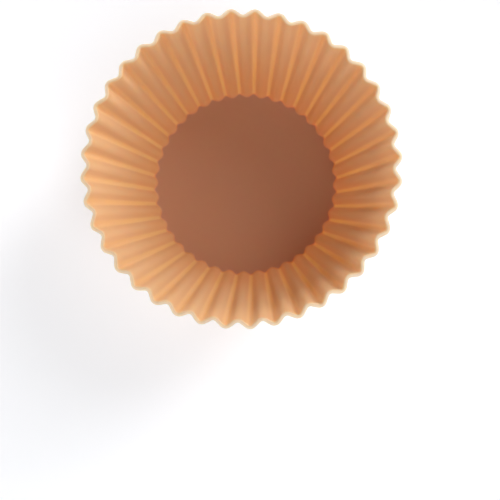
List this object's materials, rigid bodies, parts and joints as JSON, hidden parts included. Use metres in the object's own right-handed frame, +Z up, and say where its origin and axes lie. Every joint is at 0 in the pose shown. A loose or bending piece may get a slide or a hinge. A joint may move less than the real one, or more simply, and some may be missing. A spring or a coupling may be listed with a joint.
{
  "type": "silicone baking cup",
  "caption": "Round, flared baking cup moulded in one piece of soft silicone, with a pleated wall, a wavy rim and a flat base to stand on.",
  "frame": {"origin": "centre of the underside, on the surface that the cup stands on", "axes": "+Z up along the cup's axis, from the foot to the rim; +X points at the tip of an outward fold"},
  "size_m": [0.0698, 0.0698, 0.0304],
  "materials": {
    "silicone": "satin"
  },
  "bodies": {
    "root": {"cup": "silicone"}
  },
  "joints": []
}
